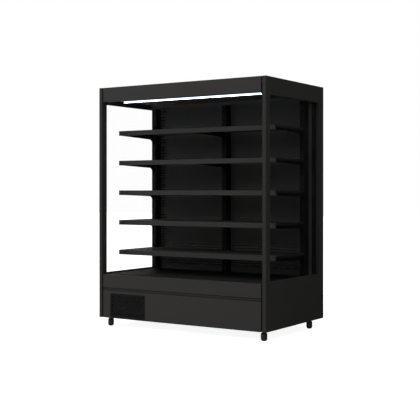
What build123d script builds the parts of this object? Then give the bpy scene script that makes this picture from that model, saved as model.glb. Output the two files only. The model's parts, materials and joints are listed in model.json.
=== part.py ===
"""Open multideck display fridge: five hook-on shelves over a chilled deck, glazed end panels, and the
cooling machinery in the base.  X runs to the right, Y to the back and Z up; the origin is on the floor
in the middle of the footprint.  All sizes are in millimetres."""
from build123d import *
import math
import os

os.makedirs("parts", exist_ok=True)

# %% Overall size
width = 1600.0              # over the two end panels
depth = 970.0               # front posts to rear edges
height = 1990.0             # floor to roof
foot_height = 76.0          # floor to the underside of the base

# %% Sheet metal and clearances
sheet = 1.2                 # thickness of folded panels
skin = 0.8                  # steel skins of the foam-filled panels; the foam's space is left empty
tub_skin = 4.0              # moulded walls of the foam-filled tub
bend = 3.0                  # outside radius of a fold
clear = 0.3                 # gap between pieces that only rest against each other
seat_gap = 2.0              # gap round pieces that lift out

# %% End panels
end_thick = 31.0
front_post = 60.0           # width of the post in front of the glass
rear_post = 95.0            # width of the post behind it
top_band = 134.0            # height of the solid band over the glass
sill_height = 446.0         # floor to the lower edge of the glass
edge_round = 3.0            # rounding of the outer corners
pane_thick = 5.0            # toughened glass
pane_lap = 8.0              # how far the rebate reaches past the window
seal_wall = 2.0             # rubber on each face of the glass
side_gap = 12.0             # shadow gap between an end panel and the front panels

# %% Canopy
fascia_height = 119.0
fascia_depth = 28.0         # how far the fascia's flanges reach back
face_set = 1.0              # front panels stand this far behind the posts
canopy_drop = 96.0          # roof to the underside of the canopy
roof_thick = 50.0
liner_curve = 25.0          # radius where the canopy turns down to the uprights
liner_lip = 34.0            # height of that turned-down lip
honeycomb_width = 70.0
honeycomb_height = 20.0
honeycomb_set = 56.0        # fascia's face to the front of the air outlet
honeycomb_cell = 12.0       # radius of a cell
honeycomb_web = 9.0         # wall between cells
honeycomb_rim = 6.0
outlet_inset = 60.0         # outlet's end to the end panel
light_length = 1330.0
light_set = 175.0           # front to the middle of the light
light_width = 30.0
light_channel = 11.0        # depth of the metal channel
light_lens = 10.0           # depth of the lens under it

# %% Back wall, air duct and uprights
wall_thick = 60.0
rear_recess = 3.0           # rear skin to the rear edges of the end panels
duct_depth = 142.0
duct_return = 45.0          # side flange of a duct panel
duct_slot_length = 84.0
duct_slot_height = 6.0
duct_slot_pitch = 110.0
duct_rows_per_bay = 2
duct_row_pitch = 84.0
upright_width = 45.0
upright_depth = 72.0
upright_sheet = 2.0
upright_inset = 4.0         # end upright to the end panel
slot_set = 10.0             # end upright's outer side to its column of slots
slot_pitch = 50.6
slot_width = 5.0
slot_height = 25.0

# %% Shelves
shelf_count = 5
slots_per_bay = 5           # shelf spacing, counted in slots
first_bay = 191.0           # deck to the lowest shelf
shelf_set = 215.0           # front to the shelf's front edge
shelf_edge = 40.0           # height of the shelf's front edge
shelf_inset = 9.0           # shelf's end to the end panel
shelf_gap = 5.0             # shelf's rear edge to the uprights
shelf_fold = 20.0           # side and rear folds
bracket_thick = 3.0
bracket_set = 25.0          # bracket's tip behind the shelf's front edge
bracket_tip = 38.0          # depth of the bracket at its tip
bracket_root = 52.0         # depth of the bracket before it turns down
bracket_leg = 7.0           # width of the leg along the upright
bracket_drop = 98.0         # shelf to the foot of the leg
bracket_curve = 40.0        # radius where it turns down
hook_neck = 11.0            # height of a hook where it passes the slot
hook_drop = 10.0            # how far it reaches down behind the slot
hook_thick = 4.0
hook_depth = 32.0           # shelf to the seat of the upper hook

# %% Front of the base
kick_height = 228.0
panel_gap = 2.0
rail_height = 18.0
rail_depth = 13.0
groove = 3.0
apron_height = 108.0
apron_return = 43.0         # how far the apron's top reaches back
face_fold = 12.0            # folds round the kick panel and under the apron
vent_left = 88.0            # end panel's inner face to the vent
vent_width = 359.0
vent_height = 199.0
vent_margin = 7.0           # vent above the kick panel's lower edge
vent_recess = 2.0
vent_fold = 8.0
vent_cell = 25.0            # spacing of the diamonds
vent_diamond = 15.0         # across a diamond

# %% Tub and deck
tub_set = 15.0              # front to the tub's front wall
tub_wall = 30.0
tub_floor = 30.0
tub_cove = 14.0
deck_rise = 3.0             # deck above the apron
grille_width = 48.0         # return-air grille, front to back
grille_slot = 4.0
grille_slot_pitch = 36.0
deck_fold = 20.0
support_width = 20.0
support_set = 42.0          # deck support to the tray's edge

# %% Base tray
tray_wall = 2.0
tray_depth = 42.0
tray_flange = 15.0
post_leg = 40.0             # corner posts that carry the tub
rib_width = 60.0
rib_height = 18.0
rib_set = 250.0
nut_radius = 13.0
nut_height = 14.0
stud_radius = 6.0
stud_length = 50.0          # stud above the underside of the base
foot_side_set = 62.0
foot_front_set = 80.0
foot_rear_set = 137.0
foot_radius = 25.0
foot_face = 12.0            # radius of the flat that stands on the floor
foot_neck = 11.0
foot_travel_up = 8.0

# %% Evaporator and its fans
fan_plate_drop = 26.0       # deck level to the fan plate
coil_depth = 108.0
coil_height = 220.0
coil_set = 119.0            # end panel's inner face to the coil's end
coil_lift = 40.0            # fan plate to the fins
coil_fins = 33
coil_web = 8.0              # solid middle of a coil, between its front and back fins
fin_share = 0.12            # a fin's thickness as a share of the fins' spacing
fan_count = 3
fan_pitch = 420.0
fan_radius = 57.0
fan_tip_gap = 5.0
fan_chord = 38.0
fan_hub = 19.0
fan_blades = 5
motor_radius = 23.0
motor_height = 34.0

# %% Condensing unit
condenser_depth = 60.0
condenser_height = 212.0
condenser_fins = 26
shroud_depth = 38.0
cooling_fan_radius = 88.0
cooling_fan_hub = 24.0
cooling_fan_chord = 52.0
cooling_motor_radius = 38.0
cooling_motor_length = 56.0
compressor_radius = 88.0
compressor_height = 176.0
compressor_y = -120.0
rubber_height = 16.0
pipe_radius = 5.0
pipe_bend = 26.0
pipe_set = 45.0             # end panel's inner face to the risers
riser_gap = 36.0            # liquid riser to suction riser
pan_width = 380.0
pan_depth = 300.0
pan_height = 48.0
pan_set = 279.0             # end panel's inner face to the middle of the pan
pan_y = 130.0
drain_radius = 16.0
box_width = 200.0
box_depth = 96.0
box_height = 150.0
box_set = 369.0             # end panel's inner face to the middle of the box
rear_slot_length = 120.0
rear_slot_height = 6.0

# %% Levels and planes that follow from them
front = -depth / 2
rear = depth / 2
base_z = foot_height
inner = width / 2 - end_thick                  # inner faces of the end panels
span = inner - clear                           # half length of what fits between them
face_half = inner - side_gap                   # half length of the front panels
face_y = front + face_set
kick_top = base_z + kick_height
rail_low = kick_top + panel_gap
rail_top = rail_low + rail_height
apron_low = rail_top + groove
apron_top = apron_low + apron_height
deck_z = apron_top + deck_rise
tub_low = rail_low
floor_z = tub_low + tub_floor
tub_front = front + tub_set
tub_inside = tub_front + tub_wall
tub_top = apron_top - sheet - clear
skin_y = rear - rear_recess                    # rear skin of the wall and the tub
wall_front = skin_y - wall_thick
panel_y = wall_front - duct_depth              # face of the perforated duct panels
upright_y = panel_y - upright_depth            # face of the slotted uprights
liner_z = height - canopy_drop
roof_low = height - roof_thick
fascia_low = height - fascia_height
light_y = front + light_set
outlet_front = face_y + honeycomb_set
outlet_half = inner - outlet_inset
shelf_pitch = slots_per_bay * slot_pitch
shelf_tops = [deck_z + first_bay + i * shelf_pitch for i in range(shelf_count)]
shelf_front = front + shelf_set
shelf_rear = upright_y - shelf_gap
shelf_half = inner - shelf_inset
upright_x = inner - upright_inset - upright_width / 2
upright_centres = {"left": -upright_x, "center": 0.0, "right": upright_x}
slot_x = upright_x + upright_width / 2 - slot_set
slot_centres = {"left": -slot_x, "center": 0.0, "right": slot_x}
ledge_z = deck_z                               # ledge under the uprights, level with the deck
plate_z = deck_z - fan_plate_drop              # top of the fan plate
fan_y = (panel_y + sheet + wall_front) / 2
fan_centres = [(i - (fan_count - 1) / 2) * fan_pitch for i in range(fan_count)]
coil_y = fan_y - coil_depth / 2
coil_low = plate_z + coil_lift
coil_length = 2 * (inner - coil_set)
pan_floor = base_z + tray_wall
rear_y = skin_y - sheet                        # inner face of the rear grille
tray_rear = rear_y - clear
tray_front = face_y + sheet + face_fold
vent_x0 = -inner + vent_left
vent_x1 = vent_x0 + vent_width
vent_z0 = base_z + vent_margin
vent_z1 = vent_z0 + vent_height
vent_x = (vent_x0 + vent_x1) / 2
foot_x = width / 2 - foot_side_set
pipe_x = -inner + pipe_set
pan_x = inner - pan_set
box_x = inner - box_set
liquid_y = fan_y + riser_gap / 2
suction_y = fan_y - riser_gap / 2
foot_places = {
    "front_left": (-foot_x, front + foot_front_set),
    "front_right": (foot_x, front + foot_front_set),
    "rear_left": (-foot_x, rear - foot_rear_set),
    "rear_right": (foot_x, rear - foot_rear_set),
}


def save(piece, name):
    """Label a finished piece and write it to its own file."""
    piece.part.label = name
    export_step(piece.part, f"parts/{name}.step")


def across(x):
    """A sketch plane at one X, drawn in (Y, Z)."""
    return Plane.YZ.offset(x)


def facing(y):
    """A sketch plane at one Y, drawn in (X, Z); it extrudes towards the front."""
    return Plane.XZ.offset(-y)


def level(z):
    """A sketch plane at one Z, drawn in (X, Y)."""
    return Plane.XY.offset(z)


def area(a0, a1, b0, b1, mode=Mode.ADD):
    """A rectangle given by its two corners."""
    with Locations(((a0 + a1) / 2, (b0 + b1) / 2)):
        Rectangle(a1 - a0, b1 - b0, mode=mode)


def folded(points, low, high, side=Side.LEFT, thick=sheet):
    """A folded sheet: a (Y, Z) outline with rounded folds, running along X from low to high."""
    with BuildPart() as piece:
        with BuildSketch(across(low)):
            with BuildLine():
                FilletPolyline(*points, radius=bend)
                offset(amount=thick, side=side)
            make_face()
        extrude(amount=high - low)
    return piece.part


def blade(hub, tip, chord, root_angle, tip_angle, thick=2.4):
    """One twisted fan blade along +X, turning about Z; it thins and flattens towards the tip."""
    with BuildPart() as piece:
        for share in (0.0, 0.5, 1.0):
            radius = hub + (tip - hub) * share
            angle = math.radians(root_angle + (tip_angle - root_angle) * share)
            section = Plane(origin=(radius, 0, 0), x_dir=(0, math.cos(angle), math.sin(angle)), z_dir=(1, 0, 0))
            with BuildSketch(section):
                SlotOverall(chord * (0.72 + 0.28 * share), thick * (1 - 0.4 * share))
        loft()
    return piece.part


def impeller(hub, tip, chord, blades, hub_length, shaft):
    """An axial fan wheel on the Z axis: a domed hub from z = 0 up, its blades and a stub shaft below."""
    one_blade = blade(hub - 1.5, tip, chord, 40, 24)
    with BuildPart() as wheel:
        with BuildSketch():
            Circle(hub)
        extrude(amount=hub_length)
        fillet(wheel.edges().sort_by(Axis.Z)[-1], hub_length / 5)
        with BuildSketch():
            Circle(shaft)
        extrude(amount=-hub_length)
        with Locations((0, 0, hub_length / 2)):
            with PolarLocations(0, blades):
                add(one_blade)
        with BuildSketch(level(-hub_length)):
            Circle(tip)
        extrude(amount=3 * hub_length, mode=Mode.INTERSECT)
    return wheel.part


# %% End panels: a foam-filled frame with a window and a rebate for the glass
with BuildPart() as end_frame_right:
    with BuildSketch(across(inner)):
        area(front, rear, base_z, height)
        area(front + front_post, rear - rear_post, sill_height, height - top_band, Mode.SUBTRACT)
    extrude(amount=end_thick)
    outer_edges = end_frame_right.edges().filter_by(Axis.Z).group_by(Axis.X)[-1].sort_by(Axis.Y)
    fillet([outer_edges[0], outer_edges[-1]], edge_round)
    with BuildSketch(across(inner)):
        area(front + front_post - pane_lap, rear - rear_post + pane_lap,
             sill_height - pane_lap, height - top_band + pane_lap)
    extrude(amount=pane_thick + 2 * seal_wall, mode=Mode.SUBTRACT)
    with BuildSketch(across(inner + skin)):
        area(front + skin, rear - skin, base_z + skin, height - skin)
        area(front + front_post - pane_lap - skin, rear - rear_post + pane_lap + skin,
             sill_height - pane_lap - skin, height - top_band + pane_lap + skin, Mode.SUBTRACT)
    extrude(amount=end_thick - 2 * skin, mode=Mode.SUBTRACT)
save(end_frame_right, "end_frame_right")

with BuildPart() as end_frame_left:
    mirror(end_frame_right.part, about=Plane.YZ)
save(end_frame_left, "end_frame_left")

# %% Glass and its rubber: the rubber wraps the edge of the pane inside the rebate
rebate_y0 = front + front_post - pane_lap
rebate_y1 = rear - rear_post + pane_lap
rebate_z0 = sill_height - pane_lap
rebate_z1 = height - top_band + pane_lap
with BuildPart() as end_glass_right:
    with BuildSketch(across(inner + seal_wall)):
        area(rebate_y0 + seal_wall, rebate_y1 - seal_wall, rebate_z0 + seal_wall, rebate_z1 - seal_wall)
    extrude(amount=pane_thick)
    fillet(end_glass_right.edges().filter_by(Axis.X), 4.0)
save(end_glass_right, "end_glass_right")

with BuildPart() as end_glass_left:
    mirror(end_glass_right.part, about=Plane.YZ)
save(end_glass_left, "end_glass_left")

with BuildPart() as seal_right:
    with BuildSketch(across(inner)):
        area(rebate_y0, rebate_y1, rebate_z0, rebate_z1)
        area(rebate_y0 + pane_lap + seal_wall, rebate_y1 - pane_lap - seal_wall,
             rebate_z0 + pane_lap + seal_wall, rebate_z1 - pane_lap - seal_wall, Mode.SUBTRACT)
    extrude(amount=pane_thick + 2 * seal_wall)
    add(end_glass_right.part, mode=Mode.SUBTRACT)
with BuildPart() as glass_seals:
    add(seal_right.part)
    mirror(seal_right.part, about=Plane.YZ)
save(glass_seals, "glass_seals")

# %% Insulated tub: one foamed trough with a coved front corner, a drain and two pipe holes
with BuildPart() as tub:
    with BuildSketch(across(-span)):
        with BuildLine():
            Polyline((tub_front, tub_low), (skin_y, tub_low), (skin_y, floor_z), (tub_inside, floor_z),
                     (tub_inside, tub_top), (tub_front, tub_top), close=True)
        make_face()
    extrude(amount=2 * span)
    cove = tub.edges().filter_by(Axis.X).filter_by_position(Axis.Z, floor_z - 0.1, floor_z + 0.1)
    fillet(cove.sort_by(Axis.Y)[0], tub_cove)
    with Locations((pan_x, pan_y, floor_z)):
        Hole(drain_radius + clear)
    with Locations((pipe_x, liquid_y, floor_z), (pipe_x, suction_y, floor_z)):
        Hole(pipe_radius + seat_gap)
    hole_margin = drain_radius + 2 * tub_skin      # the foam stops this far from each hole
    stops = [-span + tub_skin, pipe_x - hole_margin, pipe_x + hole_margin,
             pan_x - hole_margin, pan_x + hole_margin, span - tub_skin]
    for low, high in zip(stops[::2], stops[1::2]):
        with BuildSketch(level(tub_low + tub_skin)):
            area(low, high, tub_front + tub_skin, skin_y - tub_skin)
        extrude(amount=tub_floor - 2 * tub_skin, mode=Mode.SUBTRACT)
        with BuildSketch(level(tub_low + tub_skin)):
            area(low, high, tub_front + tub_skin, tub_inside - tub_skin)
        extrude(amount=tub_top - tub_low - 2 * tub_skin, mode=Mode.SUBTRACT)
save(tub, "tub")

# %% Insulated back wall and roof
with BuildPart() as back_wall:
    with BuildSketch(level(floor_z)):
        area(-span, span, wall_front, skin_y)
    extrude(amount=roof_low - floor_z)
    fillet(back_wall.edges().filter_by(Axis.Z).group_by(Axis.Y)[-1], edge_round)
    with BuildSketch(level(floor_z + skin)):
        area(-span + edge_round, span - edge_round, wall_front + skin, skin_y - skin)
    extrude(amount=roof_low - floor_z - 2 * skin, mode=Mode.SUBTRACT)
save(back_wall, "back_wall")

with BuildPart() as roof_panel:
    with BuildSketch(level(roof_low)):
        area(-span, span, face_y + fascia_depth + 1, skin_y)
    extrude(amount=roof_thick)
    fillet(roof_panel.edges().filter_by(Axis.X).group_by(Axis.Z)[-1].sort_by(Axis.Y)[-1], edge_round)
    with BuildSketch(level(roof_low + skin)):
        area(-span + skin, span - skin, face_y + fascia_depth + 1 + skin, skin_y - edge_round)
    extrude(amount=roof_thick - 2 * skin, mode=Mode.SUBTRACT)
save(roof_panel, "roof_panel")

# %% Fascia and canopy
with BuildPart() as fascia:
    add(folded([(face_y + fascia_depth, height), (face_y, height), (face_y, fascia_low),
                (face_y + fascia_depth, fascia_low)], -face_half, face_half))
save(fascia, "fascia")

liner_front = face_y + fascia_depth + clear
liner_back = upright_y - clear
with BuildPart() as liner_sheet:
    with BuildSketch(across(-span)):
        with BuildLine():
            FilletPolyline((liner_front, fascia_low + sheet), (liner_front, liner_z), (liner_back - sheet, liner_z),
                           (liner_back - sheet, liner_z - liner_lip), radius=(bend, liner_curve))
            offset(amount=sheet, side=Side.LEFT)
        make_face()
    extrude(amount=2 * span)
with BuildPart() as canopy_liner:
    add(liner_sheet.part)
    with BuildSketch(level(liner_z - sheet)):
        area(-outlet_half - clear, outlet_half + clear, outlet_front - clear,
             outlet_front + honeycomb_width + clear)
    extrude(amount=3 * sheet, mode=Mode.SUBTRACT)
save(canopy_liner, "canopy_liner")

with BuildPart() as honeycomb:
    with BuildSketch(level(liner_z)):
        area(-outlet_half, outlet_half, outlet_front, outlet_front + honeycomb_width)
    extrude(amount=honeycomb_height)
    with BuildSketch(level(liner_z + sheet + clear)):
        area(-outlet_half - honeycomb_rim, outlet_half + honeycomb_rim, outlet_front - honeycomb_rim,
             outlet_front + honeycomb_width + honeycomb_rim)
    extrude(amount=sheet)
    cell_pitch = 2 * honeycomb_cell + honeycomb_web
    cells = int((2 * outlet_half - honeycomb_web) // cell_pitch)
    with BuildSketch(level(liner_z)):
        with Locations((0, outlet_front + honeycomb_width / 2)):
            with GridLocations(cell_pitch, cell_pitch, cells, 2):
                RegularPolygon(honeycomb_cell, 6)
    extrude(amount=honeycomb_height, mode=Mode.SUBTRACT)
save(honeycomb, "honeycomb")

# %% Light: a capped metal channel and the translucent lens that clips into it
with BuildPart() as light_housing:
    with BuildSketch(across(-light_length / 2)):
        area(light_y - light_width / 2, light_y + light_width / 2, liner_z - light_channel, liner_z)
        area(light_y - light_width / 2 + sheet, light_y + light_width / 2 - sheet,
             liner_z - light_channel, liner_z - sheet, Mode.SUBTRACT)
    extrude(amount=light_length)
    for end in (-light_length / 2 - sheet, light_length / 2):
        with BuildSketch(across(end)):
            with BuildLine():
                Polyline((light_y + light_width / 2, liner_z - light_channel), (light_y + light_width / 2, liner_z),
                         (light_y - light_width / 2, liner_z), (light_y - light_width / 2, liner_z - light_channel))
                ThreePointArc((light_y - light_width / 2, liner_z - light_channel),
                              (light_y, liner_z - light_channel - light_lens),
                              (light_y + light_width / 2, liner_z - light_channel))
            make_face()
        extrude(amount=sheet)
save(light_housing, "light_housing")

lens_half = light_width / 2 - sheet - clear
with BuildPart() as light_diffuser:
    with BuildSketch(across(-light_length / 2 + clear)):
        with BuildLine():
            Polyline((light_y + lens_half, liner_z - light_channel), (light_y + lens_half, liner_z - sheet - clear),
                     (light_y - lens_half, liner_z - sheet - clear), (light_y - lens_half, liner_z - light_channel))
            ThreePointArc((light_y - lens_half, liner_z - light_channel),
                          (light_y, liner_z - light_channel - light_lens),
                          (light_y + lens_half, liner_z - light_channel))
        make_face()
    extrude(amount=light_length - 2 * clear)
save(light_diffuser, "light_diffuser")


# %% Perforated duct panels: face, side return, and a ledge under the uprights
duct_top = liner_z - clear
duct_half = span - clear
duct_columns = int((duct_half - upright_width) // duct_slot_pitch)
with BuildPart() as duct_sheet:
    add(folded([(panel_y, duct_top), (panel_y, ledge_z), (upright_y - clear, ledge_z),
                (upright_y - clear, ledge_z - deck_fold)], clear, duct_half, Side.LEFT))
with BuildPart() as duct_panel_right:
    add(duct_sheet.part)
    with BuildSketch(across(duct_half - sheet)):
        area(panel_y, panel_y + duct_return, ledge_z, duct_top)
    extrude(amount=sheet)
    with BuildSketch(facing(panel_y + 2 * sheet)):
        for row in range(duct_rows_per_bay * (shelf_count + 1)):
            bay, place = divmod(row, duct_rows_per_bay)
            bay_low = (shelf_tops[bay] if bay < shelf_count else liner_z) - shelf_pitch
            row_z = bay_low + shelf_pitch / 2 + (place - (duct_rows_per_bay - 1) / 2) * duct_row_pitch
            with Locations(((duct_half + clear) / 2, max(row_z, ledge_z + duct_slot_pitch / 2))):
                with GridLocations(duct_slot_pitch, duct_row_pitch, duct_columns, 1):
                    SlotOverall(duct_slot_length, duct_slot_height)
    extrude(amount=4 * sheet, mode=Mode.SUBTRACT)
save(duct_panel_right, "duct_panel_right")

with BuildPart() as duct_panel_left:
    mirror(duct_panel_right.part, about=Plane.YZ)
save(duct_panel_left, "duct_panel_left")

# %% Slotted uprights: a channel with a column of hook slots; the bottom of one slot in every row of
# %% slots carries the upper hook of a shelf
slot_base = shelf_tops[0] - hook_depth             # seat of the lowest shelf's upper hook
slot_first = slot_base - int((slot_base - ledge_z - slot_height) // slot_pitch) * slot_pitch
slot_total = int((duct_top - liner_lip - slot_first - slot_height) // slot_pitch) + 1
for place, centre in upright_centres.items():
    with BuildPart() as upright:
        with BuildSketch(level(ledge_z + bend)):
            area(centre - upright_width / 2, centre + upright_width / 2, upright_y, panel_y - clear)
            area(centre - upright_width / 2 + upright_sheet, centre + upright_width / 2 - upright_sheet,
                 upright_y + upright_sheet, panel_y - clear, Mode.SUBTRACT)
        extrude(amount=duct_top - ledge_z - 2 * bend)
        fillet(upright.edges().filter_by(Axis.Z).group_by(Axis.Y)[0], bend / 2)
        with BuildSketch(facing(upright_y + 2 * upright_sheet)):
            for step in range(slot_total):
                with Locations((slot_centres[place], slot_first + step * slot_pitch + slot_height / 2)):
                    Rectangle(slot_width, slot_height)
        extrude(amount=3 * upright_sheet, mode=Mode.SUBTRACT)
    save(upright, f"upright_{place}")

# %% Shelves: a folded plate on three hooked brackets
bracket_back = upright_y - clear
web_back = upright_y + upright_sheet + clear       # just behind the upright's slotted face


def bracket_outline(top):
    """One bracket's outline in (Y, Z), hooks included; `top` is the underside of the shelf plate."""
    plate_top = top + sheet
    seats = (plate_top - hook_depth + clear, plate_top - hook_depth - slot_pitch + clear)
    tip_y = shelf_front + bracket_set
    with BuildSketch(across(0)) as outline:
        with BuildLine():
            tapered = FilletPolyline(
                (tip_y, top - bracket_tip), (bracket_back - bracket_leg, top - bracket_root),
                (bracket_back - bracket_leg, plate_top - bracket_drop), radius=bracket_curve)
            Polyline(tapered @ 1, (bracket_back, plate_top - bracket_drop), (bracket_back, top), (tip_y, top),
                     tapered @ 0)
        make_face()
        for seat in seats:
            area(bracket_back - 1, web_back + hook_thick, seat, seat + hook_neck)
            area(web_back, web_back + hook_thick, seat - hook_drop, seat + hook_neck)
    return outline.sketch_local


for number, top in enumerate(shelf_tops, 1):
    with BuildPart() as shelf:
        add(folded([(shelf_rear, top - shelf_fold), (shelf_rear, top), (shelf_front, top),
                    (shelf_front, top - shelf_edge), (shelf_front + face_fold, top - shelf_edge)],
                   -shelf_half, shelf_half))
        for end in (-shelf_half, shelf_half - sheet):
            with BuildSketch(across(end)):
                area(shelf_front + sheet / 2, shelf_rear - sheet / 2, top - shelf_fold, top - sheet / 2)
            extrude(amount=sheet)
        with BuildSketch(facing(shelf_rear + sheet)):
            for centre in slot_centres.values():
                area(centre - bracket_thick, centre + bracket_thick, top - shelf_fold - sheet, top - sheet)
        extrude(amount=2 * bend, mode=Mode.SUBTRACT)
    save(shelf, f"shelf_{number}")

    profile = bracket_outline(top - sheet)
    with BuildPart() as brackets:
        for centre in slot_centres.values():
            with BuildSketch(across(centre - bracket_thick / 2)):
                add(profile)
            extrude(amount=bracket_thick)
    save(brackets, f"shelf_brackets_{number}")


# %% Front of the base: apron, trim rail and kick panel with its vent
with BuildPart() as apron:
    add(folded([(face_y + apron_return, apron_top), (face_y, apron_top), (face_y, apron_low),
                (face_y + face_fold, apron_low)], -face_half, face_half))
save(apron, "apron")

with BuildPart() as trim_rail:
    add(folded([(face_y + face_set + rail_depth, rail_top), (face_y + face_set, rail_top),
                (face_y + face_set, rail_low), (face_y + face_set + rail_depth, rail_low)],
               -face_half, face_half))
save(trim_rail, "trim_rail")

with BuildPart() as kick_panel:
    with BuildSketch(facing(face_y + sheet + face_fold)):
        area(-face_half, face_half, base_z, kick_top)
    extrude(amount=sheet + face_fold)
    front_edges = kick_panel.edges().group_by(Axis.Y)[0]
    fillet(front_edges.filter_by(Axis.X) + front_edges.filter_by(Axis.Z), bend / 2)
    with BuildSketch(facing(face_y + sheet + face_fold)):
        area(-face_half + sheet, face_half - sheet, base_z + sheet, kick_top - sheet)
    extrude(amount=face_fold, mode=Mode.SUBTRACT)
    with BuildSketch(facing(face_y + 2 * sheet)):
        area(vent_x0, vent_x1, vent_z0, vent_z1)
    extrude(amount=4 * sheet, mode=Mode.SUBTRACT)
save(kick_panel, "kick_panel")

with BuildPart() as vent_grille:
    with BuildSketch(facing(face_y + vent_recess + vent_fold)):
        area(vent_x0 + clear, vent_x1 - clear, vent_z0 + clear, vent_z1 - clear)
    extrude(amount=vent_fold)
    with BuildSketch(facing(face_y + vent_recess + vent_fold)):
        area(vent_x0 + clear + sheet, vent_x1 - clear - sheet, vent_z0 + clear + sheet, vent_z1 - clear - sheet)
    extrude(amount=vent_fold - sheet, mode=Mode.SUBTRACT)
    columns = int((vent_width - 2 * sheet) // vent_cell)
    rows = int((vent_height - 2 * sheet) // vent_cell)
    with BuildSketch(facing(face_y + vent_recess + 2 * sheet)):
        with Locations((vent_x, (vent_z0 + vent_z1) / 2)):
            with GridLocations(vent_cell, vent_cell, columns, rows):
                RegularPolygon(vent_diamond / 2, 4)
            with GridLocations(vent_cell, vent_cell, columns - 1, rows - 1):
                RegularPolygon(vent_diamond / 2, 4)
    extrude(amount=3 * sheet, mode=Mode.SUBTRACT)
save(vent_grille, "vent_grille")

# %% Deck: return-air grille, two trays that lift out, and the rails under them
deck_front = tub_inside + clear
deck_split = deck_front + grille_width
with BuildPart() as return_grille:
    add(folded([(deck_split, deck_z - deck_fold), (deck_split, deck_z), (deck_front, deck_z),
                (deck_front, deck_z - deck_fold)], -face_half, face_half))
    grille_slots = int((2 * face_half - grille_slot_pitch / 2) // grille_slot_pitch)
    with BuildSketch(level(deck_z - 2 * sheet)):
        with Locations((0, (deck_front + deck_split) / 2)):
            with GridLocations(grille_slot_pitch, 1, grille_slots, 1):
                Rectangle(grille_slot * 2, grille_width - 4 * bend)
    extrude(amount=3 * sheet, mode=Mode.SUBTRACT)
save(return_grille, "return_grille")

tray_y0 = deck_split + seat_gap
tray_y1 = upright_y - seat_gap - clear
with BuildPart() as deck_tray_right:
    with BuildSketch(level(deck_z)):
        area(seat_gap / 2, face_half, tray_y0, tray_y1)
    extrude(amount=-deck_fold)
    fillet(deck_tray_right.edges().group_by(Axis.Z)[-1], bend / 2)
    with BuildSketch(level(deck_z - sheet)):
        area(seat_gap / 2 + sheet, face_half - sheet, tray_y0 + sheet, tray_y1 - sheet)
    extrude(amount=-deck_fold, mode=Mode.SUBTRACT)
save(deck_tray_right, "deck_tray_right")

with BuildPart() as deck_tray_left:
    mirror(deck_tray_right.part, about=Plane.YZ)
save(deck_tray_left, "deck_tray_left")

support_places = (-face_half + support_set, -support_set, support_set, face_half - support_set)
with BuildPart() as deck_supports:
    for centre in support_places:
        with BuildSketch(facing(upright_y - 2 * clear)):
            low, high = floor_z + clear, deck_z - deck_fold - clear
            area(centre - sheet / 2, centre + sheet / 2, low, high)
            area(centre - sheet / 2, centre + support_width, low, low + sheet)
            area(centre - support_width, centre + sheet / 2, high - sheet, high)
        extrude(amount=upright_y - 2 * clear - tub_inside - tub_cove)
save(deck_supports, "deck_supports")

# %% Base tray: folded pan with inturned flanges, corner posts, hat ribs and foot nuts
tray_top = base_z + tray_depth
with BuildPart() as base_frame:
    with BuildSketch(level(base_z)):
        area(-span, span, tray_front, tray_rear)
    extrude(amount=tray_depth)
    fillet(base_frame.edges().filter_by(Axis.Z), edge_round)
    with BuildSketch(level(base_z + tray_wall)):
        area(-span + tray_wall, span - tray_wall, tray_front + tray_wall, tray_rear - tray_wall)
    extrude(amount=tray_depth - 2 * tray_wall, mode=Mode.SUBTRACT)
    with BuildSketch(level(tray_top)):
        area(-span + tray_flange, span - tray_flange, tray_front + tray_flange, tray_rear - tray_flange)
    extrude(amount=-2 * tray_wall, mode=Mode.SUBTRACT)
    for sign_x in (-1, 1):
        for corner_y, sign_y in ((tray_front, 1), (tray_rear, -1)):
            corner_x = sign_x * span
            with BuildSketch(level(pan_floor)):
                x_ends = sorted((corner_x, corner_x - sign_x * post_leg))
                y_ends = sorted((corner_y, corner_y + sign_y * post_leg))
                area(*x_ends, *sorted((corner_y, corner_y + sign_y * tray_wall)))
                area(*sorted((corner_x, corner_x - sign_x * tray_wall)), *y_ends)
            extrude(amount=tub_low - clear - pan_floor)
    for centre in (-rib_set, rib_set):
        with BuildSketch(facing(tray_rear - tray_wall)):
            area(centre - rib_width / 2, centre + rib_width / 2, base_z, base_z + rib_height)
        extrude(amount=tray_rear - tray_front - 2 * tray_wall)
        with BuildSketch(facing(tray_rear + 1)):
            area(centre - rib_width / 2 + tray_wall, centre + rib_width / 2 - tray_wall,
                 base_z - 1, base_z + rib_height - tray_wall)
        extrude(amount=tray_rear - tray_front + 2, mode=Mode.SUBTRACT)
    with BuildSketch(level(pan_floor)):
        with Locations(*foot_places.values()):
            RegularPolygon(nut_radius, 6)
    extrude(amount=nut_height)
    with BuildSketch(level(base_z - 1)):
        with Locations(*foot_places.values()):
            Circle(stud_radius + clear)
    extrude(amount=tray_wall + nut_height + 2, mode=Mode.SUBTRACT)
save(base_frame, "base_frame")

# %% Levelling feet: a rounded cup turned on its stud
for place, (x, y) in foot_places.items():
    with BuildPart() as foot:
        with BuildSketch(Plane(origin=(x, y, 0), x_dir=(1, 0, 0), z_dir=(0, -1, 0))):
            with BuildLine():
                Polyline((0, 0), (foot_face, 0))
                Spline((foot_face, 0), (foot_radius, foot_radius * 0.9), tangents=((1, 0.35), (0, 1)))
                Polyline((foot_radius, foot_radius * 0.9), (foot_radius, foot_height - 22),
                         (foot_radius - 5, foot_height - 16), (foot_neck, foot_height - foot_travel_up - 2),
                         (stud_radius, foot_height - foot_travel_up - 2),
                         (stud_radius, foot_height + stud_length), (0, foot_height + stud_length), (0, 0))
            make_face()
        revolve(axis=Axis((x, y, 0), (0, 0, 1)))
    save(foot, f"foot_{place}")

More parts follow.
